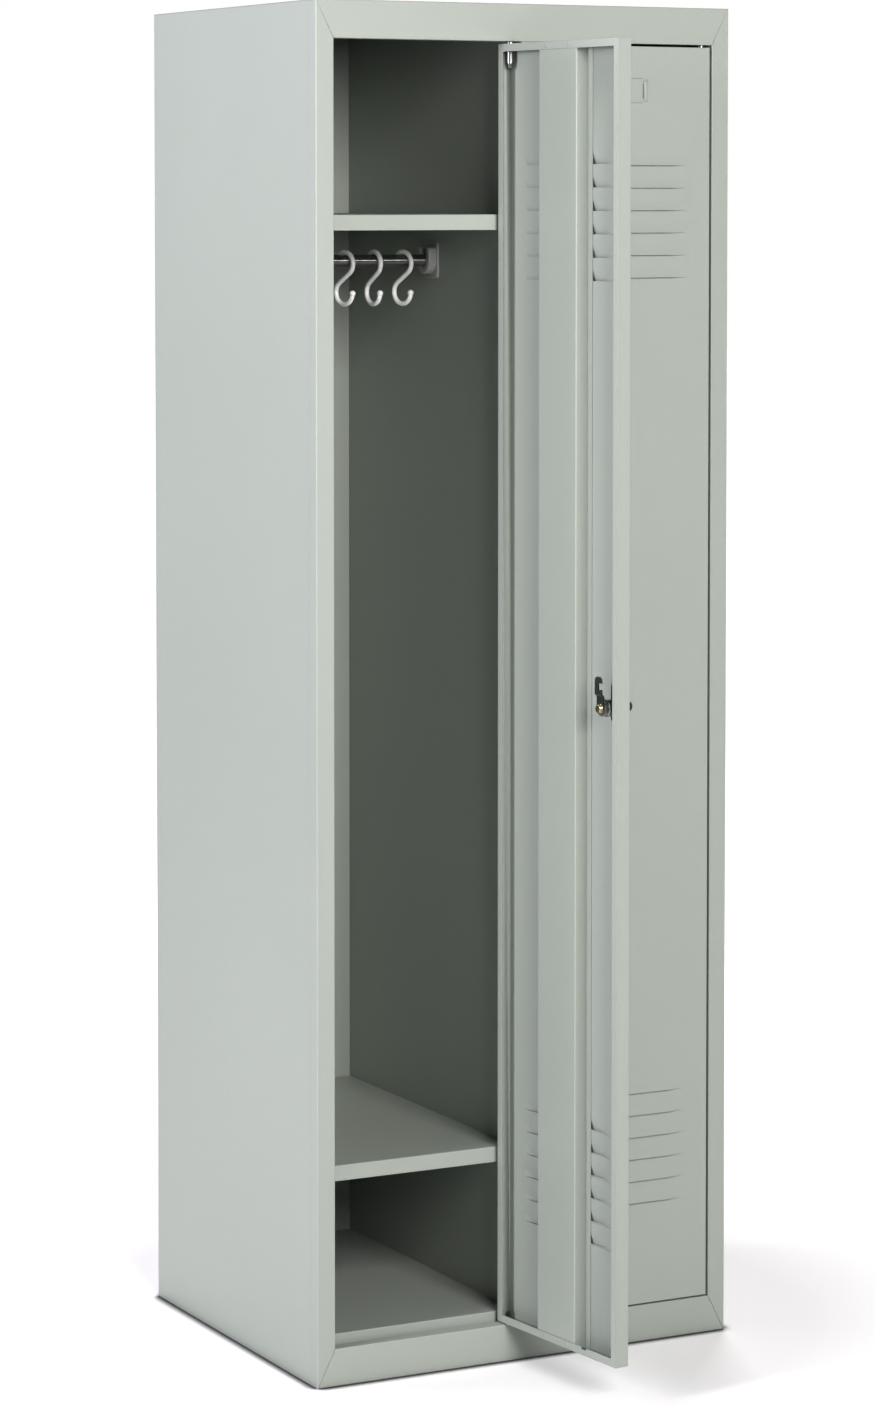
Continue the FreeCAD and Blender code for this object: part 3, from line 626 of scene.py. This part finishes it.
def rodSockets(side):
    r = rodSocket
    cornerSteps, rimSteps, boreSteps, tipSteps = r["steps"]
    inY = r["half"] - r["corner"]
    inZ = r["reach"] - r["corner"]
    plate = []
    for y, z, start in ((inY, inZ, 0), (-inY, inZ, 90), (-inY, -inZ, 180), (inY, -inZ, 270)):
        plate += arc(y, z, r["corner"], start, start + 90, cornerSteps)
    tip = (r["rim"] - r["bore"]) / 2
    armY = r["bore"] + tip
    armZ = r["arm"] - tip
    cup = (
        arc(0, 0, r["rim"], 180, 360, rimSteps) + arc(armY, armZ, tip, 0, 180, tipSteps)
        + arc(0, 0, r["bore"], 360, 180, boreSteps) + arc(-armY, armZ, tip, 0, 180, tipSteps)
    )
    bm = bmesh.new()
    for wall, turn in zip(r["walls"][side], (0, 180)):
        others = set(bm.verts)
        roundedSlab(bm, plate, 0, r["plate"], r["plateRound"])
        roundedSlab(bm, cup, r["plate"], r["cup"], r["cupRound"])
        fresh = [vert for vert in bm.verts if vert not in others]
        place = Matrix.Translation((wall, *r["rod"])) @ Matrix.Rotation(math.radians(turn), 4, "Z")
        bmesh.ops.transform(bm, matrix=place, verts=fresh)
    piece = newPiece(f"{side}_moulded_sockets", bm, "cabinet", "grey_plastic", r["crease"], socketShadePlastic)
    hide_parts(f"{side}_rod_sockets")


for side in sides:
    rodSockets(side)
print("rod sockets placed")

# pieces on the doors, in the closed door's frame with the hinge pin at x = 0, y = 0

doorShape = {
    "pins": {"left": (-20.5 * mm, -242.0 * mm), "right": (262.5 * mm, -242.0 * mm)},
    "angles": {"left": 95.7, "right": 0.0},
    "lockX": -220.5 * mm,
    "lockZ": 871.0 * mm,
    "skinInside": -7.2 * mm,
    "lipPlane": 12.0 * mm,
    "middle": -121.5 * mm,
    "bottom": 50.0 * mm,
    "top": 1699.0 * mm,
}


def onDoor(side):
    x, y = doorShape["pins"][side]
    return Matrix.Translation((x, y, 0)) @ Matrix.Rotation(math.radians(doorShape["angles"][side]), 4, "Z")


# a turned shape made along +Z, laid on the lock's axis with +Z towards the inside of the door
def onLock(side, depth):
    place = Matrix.Translation((doorShape["lockX"], depth, doorShape["lockZ"]))
    return onDoor(side) @ place @ Matrix.Rotation(math.radians(-90), 4, "X")


# door skins: copies of the CAD trays, merged and shaded so that the pressed louvres and folds run smooth
doorSkin = {
    "crease": 34.0,
    "flatWeight": 90,
}


def smoothSkin(side):
    node = f"{side}_door_panel"
    bm = bmesh.new()
    bm.from_mesh(nodes[node].data)
    piece = newPiece(f"{side}_door_skin", bm, f"{side}_door", "painted_sheet", doorSkin["crease"])
    evenOut = piece.modifiers.new("evenOut", "WEIGHTED_NORMAL")
    evenOut.weight = doorSkin["flatWeight"]
    evenOut.keep_sharp = True
    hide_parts(node)


# slotted screw and washer that hold the cam
camScrew = {
    "depth": 15.0 * mm,
    "segments": 40,
    "washer": 6.5 * mm,
    "washerThick": 0.9 * mm,
    "washerRound": 0.2 * mm,
    "washerSegments": 2,
    "head": 5.4 * mm,
    "headThick": 2.6 * mm,
    "headRound": 1.0 * mm,
    "headSegments": 4,
    "slot": 0.7 * mm,  # half the slot's width
    "slotDeep": 1.1 * mm,
    "slotTurn": 35.0,
    "upward": 0.9,  # a face's normal, for the head's flat crown
    "near": 0.05 * mm,
    "crease": 35,
}


# a disc from its base upward, with its upper rim rounded
def roundedDisc(bm, radius, base, thick, rounding, segments):
    disc = bmesh.ops.create_cone(
        bm, cap_ends=True, segments=camScrew["segments"], radius1=radius, radius2=radius, depth=thick)
    bmesh.ops.translate(bm, verts=disc["verts"], vec=(0, 0, base + thick / 2))
    level = base + thick - camScrew["near"]
    rim = [edge for edge in bm.edges if all(vert.co.z > level for vert in edge.verts)]
    roundEdges(bm, rim, rounding, segments)


def slottedScrew(side):
    s = camScrew
    bm = bmesh.new()
    roundedDisc(bm, s["washer"], 0, s["washerThick"], s["washerRound"], s["washerSegments"])
    roundedDisc(bm, s["head"], s["washerThick"], s["headThick"], s["headRound"], s["headSegments"])
    level = s["washerThick"] + s["headThick"] - s["near"]
    flats = [face for face in bm.faces if face.normal.z > s["upward"]]
    crown = [face for face in flats if face.calc_center_median().z > level]
    for way in (-1, 1):
        shape = crown + [part for face in crown for part in (*face.edges, *face.verts)]
        cut = bmesh.ops.bisect_plane(
            bm, geom=list(set(shape)), plane_co=(s["slot"] * way, 0, 0), plane_no=(1, 0, 0))
        crown = pick(cut["geom"], bmesh.types.BMFace)
    floor = [face for face in crown if abs(face.calc_center_median().x) < s["slot"] - s["near"]]
    sunk = bmesh.ops.extrude_face_region(bm, geom=floor)
    bmesh.ops.delete(bm, geom=floor, context="FACES")
    bmesh.ops.translate(bm, verts=pick(sunk["geom"], bmesh.types.BMVert), vec=(0, 0, -s["slotDeep"]))
    turn = Matrix.Rotation(math.radians(s["slotTurn"]), 4, "Z")
    bmesh.ops.transform(bm, matrix=onLock(side, s["depth"]) @ turn, verts=bm.verts)
    newPiece(f"{side}_cam_screw", bm, f"{side}_lock", "plated_steel", s["crease"], screwZinc)


# collar around the lock barrel, from the skin inward
lockCollar = {
    "radius": 10.8 * mm,
    "bore": 9.55 * mm,
    "length": 14.5 * mm,
    "bevel": 0.6 * mm,
    "steps": 48,
    "crease": 30,
}


def threadedCollar(side):
    c = lockCollar
    bm = bmesh.new()
    turnedShape(bm, [
        (c["bore"], 0),
        (c["radius"], 0),
        (c["radius"], c["length"] - c["bevel"]),
        (c["radius"] - c["bevel"], c["length"]),
        (c["bore"], c["length"]),
        (c["bore"], 0),
    ], c["steps"])
    bmesh.ops.transform(bm, matrix=onLock(side, doorShape["skinInside"]), verts=bm.verts)
    newPiece(f"{side}_lock_collar", bm, f"{side}_door", "zinc", c["crease"])


# hinge pins with a grooved, tapered nose, from the nose to the journal's tip
hingePin = {
    "body": 5.5 * mm,
    "journal": 4.0 * mm,
    "groove": 0.4 * mm,
    "grooveWidth": 0.7 * mm,
    "bevel": 0.4 * mm,
    "steps": 40,
    "crease": 25,
    # levels of nose, shoulder and tip, then the nose's radius at its end and neck, and its length
    "upper": (1668.0 * mm, 1701.7 * mm, 1708.0 * mm, 3.9 * mm, 4.7 * mm, 5.5 * mm),
    "lower": (62.5 * mm, 48.3 * mm, 42.0 * mm, 2.6 * mm, 3.0 * mm, 9.5 * mm),
}


def hingePins(side):
    h = hingePin
    bm = bmesh.new()
    for end, shoulder, tip, endRadius, neckRadius, noseLength in (h["upper"], h["lower"]):
        way = 1 if tip > end else -1
        neck = end + noseLength * way
        bodyStart = neck + h["grooveWidth"] * way
        bevel = h["bevel"]
        turnedShape(bm, [
            (0, end),
            (endRadius - bevel, end),
            (endRadius, end + bevel * way),
            (neckRadius, neck),
            (neckRadius - h["groove"], neck),
            (neckRadius - h["groove"], bodyStart),
            (h["body"] - bevel, bodyStart),
            (h["body"], bodyStart + bevel * way),
            (h["body"], shoulder - bevel * way),
            (h["body"] - bevel, shoulder),
            (h["journal"], shoulder),
            (h["journal"], tip - bevel * way),
            (h["journal"] - bevel, tip),
            (0, tip),
        ], h["steps"])
    bmesh.ops.transform(bm, matrix=onDoor(side), verts=bm.verts)
    piece = newPiece(f"{side}_turned_pins", bm, f"{side}_door", "plated_steel", h["crease"])
    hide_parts(f"{side}_hinge_pins")


# strap at the closed end of the card frame, pressed out of the skin beside a slit, and dark strips of
# painted shade in the slit, under the strap's rim and along the frame's rails
cardStrap = {
    "skin": -8.0 * mm,
    "rim": -8.8 * mm,
    "x": (-91.4 * mm, -85.4 * mm),
    "middle": 1641.5 * mm,
    "half": 14.5 * mm,
    "flat": 9.6 * mm,
    "rise": 2.6 * mm,
    "footRise": 0.02 * mm,
    "bend": 0.9 * mm,
    "bendShares": (0.42, 0.85),
    "gauge": 0.5 * mm,
    "edgeRound": 0.18 * mm,
    "edgeSegments": 2,
    "sharp": 1.0,
    "crease": 40,
}
cardSlitShade = {
    "x": (-92.0 * mm, -91.3 * mm),
    "rimEnd": -85.7 * mm,
    "rails": (-155.5 * mm, -92.0 * mm),
    "railWidth": 0.4 * mm,
    "railLevel": 15.5 * mm,
    "over": 0.03 * mm,
    "under": 0.2 * mm,
}


def cardEnd(side):
    c = cardStrap
    bm = bmesh.new()
    shoulder = (c["half"] + c["flat"]) / 2
    lowShare, highShare = c["bendShares"]
    profile = [
        (c["half"], c["footRise"]),
        (shoulder + c["bend"], c["rise"] * lowShare),
        (shoulder - c["bend"], c["rise"] * highShare),
        (c["flat"], c["rise"]),
    ]
    profile += [(-along, rise) for along, rise in profile[::-1]]
    strip = [bm.verts.new((c["x"][0], c["skin"] - rise, c["middle"] + along)) for along, rise in profile]
    edges = [bm.edges.new(pair) for pair in zip(strip, strip[1:])]
    run = bmesh.ops.extrude_edge_only(bm, edges=edges)
    fresh = pick(run["geom"], bmesh.types.BMVert)
    bmesh.ops.translate(bm, verts=fresh, vec=(c["x"][1] - c["x"][0], 0, 0))
    bmesh.ops.recalc_face_normals(bm, faces=bm.faces)
    bmesh.ops.solidify(bm, geom=list(bm.faces), thickness=c["gauge"])
    rim = [edge for edge in bm.edges if edge.calc_face_angle(0) > c["sharp"]]
    roundEdges(bm, rim, c["edgeRound"], c["edgeSegments"])
    bmesh.ops.transform(bm, matrix=onDoor(side), verts=bm.verts)
    newPiece(f"{side}_card_strap", bm, f"{side}_door", "painted_sheet", c["crease"])

    s = cardSlitShade
    # painted shade: dark strips in the slit, under the strap's rim and along the rails
    bm = bmesh.new()
    height = (c["middle"] - c["flat"], c["middle"] + c["flat"])
    onSkin = (c["skin"] - s["over"], c["skin"] + s["under"])
    onRim = (c["rim"] - s["over"], c["rim"] + s["under"])
    block(bm, s["x"], onSkin, height)
    block(bm, (s["x"][1], s["rimEnd"]), onRim, height)
    for way in (-1, 1):
        level = c["middle"] + s["railLevel"] * way
        block(bm, s["rails"], onSkin, sorted((level, level + s["railWidth"] * way)))
    bmesh.ops.transform(bm, matrix=onDoor(side), verts=bm.verts)
    newPiece(f"{side}_card_slit_shade", bm, f"{side}_door", "painted_sheet", material=gapShade)


# painted shade of a short slot in the lower lip beside the stiffener, as a thin dark strip
lipSlotShade = {
    "x": (-189.0 * mm, -179.5 * mm),
    "y": (11.8 * mm, 12.03 * mm),
    "z": (57.5 * mm, 60.0 * mm),
}


def shadeLipSlot(side):
    bm = bmesh.new()
    block(bm, *[lipSlotShade[axis] for axis in "xyz"])
    bmesh.ops.transform(bm, matrix=onDoor(side), verts=bm.verts)
    newPiece(f"{side}_lip_slot_shade", bm, f"{side}_door", "painted_sheet", material=gapShade)


# spring clip that holds the lock barrel from the free edge's side
lockClip = {
    "x": (-238.0 * mm, -224.5 * mm),
    "y": (-0.4 * mm, 1.0 * mm),
    "z": (855.0 * mm, 901.0 * mm),
    "corner": 3.0 * mm,
    "cornerSegments": 5,
    "crease": 30,
}


def springClip(side):
    c = lockClip
    bm = bmesh.new()
    block(bm, *[c[axis] for axis in "xyz"])
    thickness = c["y"][1] - c["y"][0]
    runs = [(edge, edge.verts[0].co - edge.verts[1].co) for edge in bm.edges]
    corners = [edge for edge, run in runs if abs(run.y) > thickness / 2]
    roundEdges(bm, corners, c["corner"], c["cornerSegments"])
    bmesh.ops.transform(bm, matrix=onDoor(side), verts=bm.verts)
    newPiece(f"{side}_lock_clip", bm, f"{side}_door", "dark_steel", c["crease"])


# weld spots on the lips where the stiffener ends
weldSpot = {
    "radius": 3.2 * mm,
    "crown": 2.4 * mm,
    "rise": 0.25 * mm,
    "root": 0.2 * mm,
    "lift": 0.02 * mm,
    "across": (-24.0 * mm, 24.0 * mm),
    "fromEdge": 5.0 * mm,
    "steps": 24,
    "crease": 50,
}


def weldSpots(side):
    w = weldSpot
    bm = bmesh.new()
    for level in (doorShape["bottom"] + w["fromEdge"], doorShape["top"] - w["fromEdge"]):
        for shift in w["across"]:
            others = set(bm.verts)
            turnedShape(bm, [
                (0, -w["root"]),
                (w["radius"], -w["root"]),
                (w["radius"], 0),
                (w["crown"], w["rise"]),
                (0, w["rise"]),
            ], w["steps"])
            fresh = [vert for vert in bm.verts if vert not in others]
            spot = (doorShape["middle"] + shift, doorShape["lipPlane"] + w["lift"], level)
            place = Matrix.Translation(spot) @ Matrix.Rotation(math.radians(-90), 4, "X")
            bmesh.ops.transform(bm, matrix=place, verts=fresh)
    bmesh.ops.transform(bm, matrix=onDoor(side), verts=bm.verts)
    newPiece(f"{side}_weld_spots", bm, f"{side}_door", "painted_sheet", w["crease"])


for side in sides:
    smoothSkin(side)
    slottedScrew(side)
    threadedCollar(side)
    hingePins(side)
    cardEnd(side)
    shadeLipSlot(side)
    springClip(side)
    weldSpots(side)
print("door fittings placed")

# floor under the locker: it glows white away from the part, and painted contact shade darkens its colour and
# glow where the part stands on it
floorLook = {
    "size": 60.0,
    "colour": (0.78, 0.78, 0.78),
    "grain": 0.99,
    "glow": (0.19, 1.0),
    "glowReach": (0.5, 1.5),
    "contactReach": 0.02,
    "contactSamples": 12,
    "contactSpan": (0.6, 0.92),
    "contactShade": (0.05, 1.0),
    "roughness": 0.9,
    "specular": 0.1,
}
black = (0, 0, 0)
white = (1, 1, 1)


def paleFloor():
    f = floorLook
    material, tree, shader, place = newMaterial("paleFloor")
    grain = addNode(tree, "ShaderNodeTexNoise", Vector=place, Scale=30.0, Detail=3.0)
    deep = [value * f["grain"] for value in f["colour"]]
    tone = blendColour(tree, grain.outputs["Fac"], f["colour"], deep)
    # painted contact shade: ambient occlusion darkens the floor near the part
    contact = addNode(
        tree, "ShaderNodeAmbientOcclusion", {"samples": f["contactSamples"]}, Distance=f["contactReach"])
    shade = spread(tree, contact.outputs["AO"], f["contactShade"], f["contactSpan"])
    tree.links.new(blendColour(tree, shade, black, tone), shader.inputs["Base Color"])
    away = addNode(tree, "ShaderNodeVectorMath", {"operation": "LENGTH"})
    tree.links.new(place, away.inputs[0])
    glow = spread(tree, away.outputs["Value"], f["glow"], f["glowReach"])
    eye = addNode(tree, "ShaderNodeLightPath")
    seen = calc(tree, "MULTIPLY", calc(tree, "MULTIPLY", glow, shade), eye.outputs["Is Camera Ray"])
    tree.links.new(blendColour(tree, seen, black, white), shader.inputs["Emission Color"])
    shader.inputs["Emission Strength"].default_value = 1.0
    shader.inputs["Roughness"].default_value = f["roughness"]
    shader.inputs["Specular IOR Level"].default_value = f["specular"]
    return material


floorMesh = bpy.data.meshes.new("studioFloor")
bm = bmesh.new()
bmesh.ops.create_grid(bm, x_segments=1, y_segments=1, size=floorLook["size"] / 2)
bm.to_mesh(floorMesh)
bm.free()
floorMesh.materials.append(paleFloor())
studioFloor = bpy.data.objects.new("studioFloor", floorMesh)
scene.collection.objects.link(studioFloor)
print("floor laid")
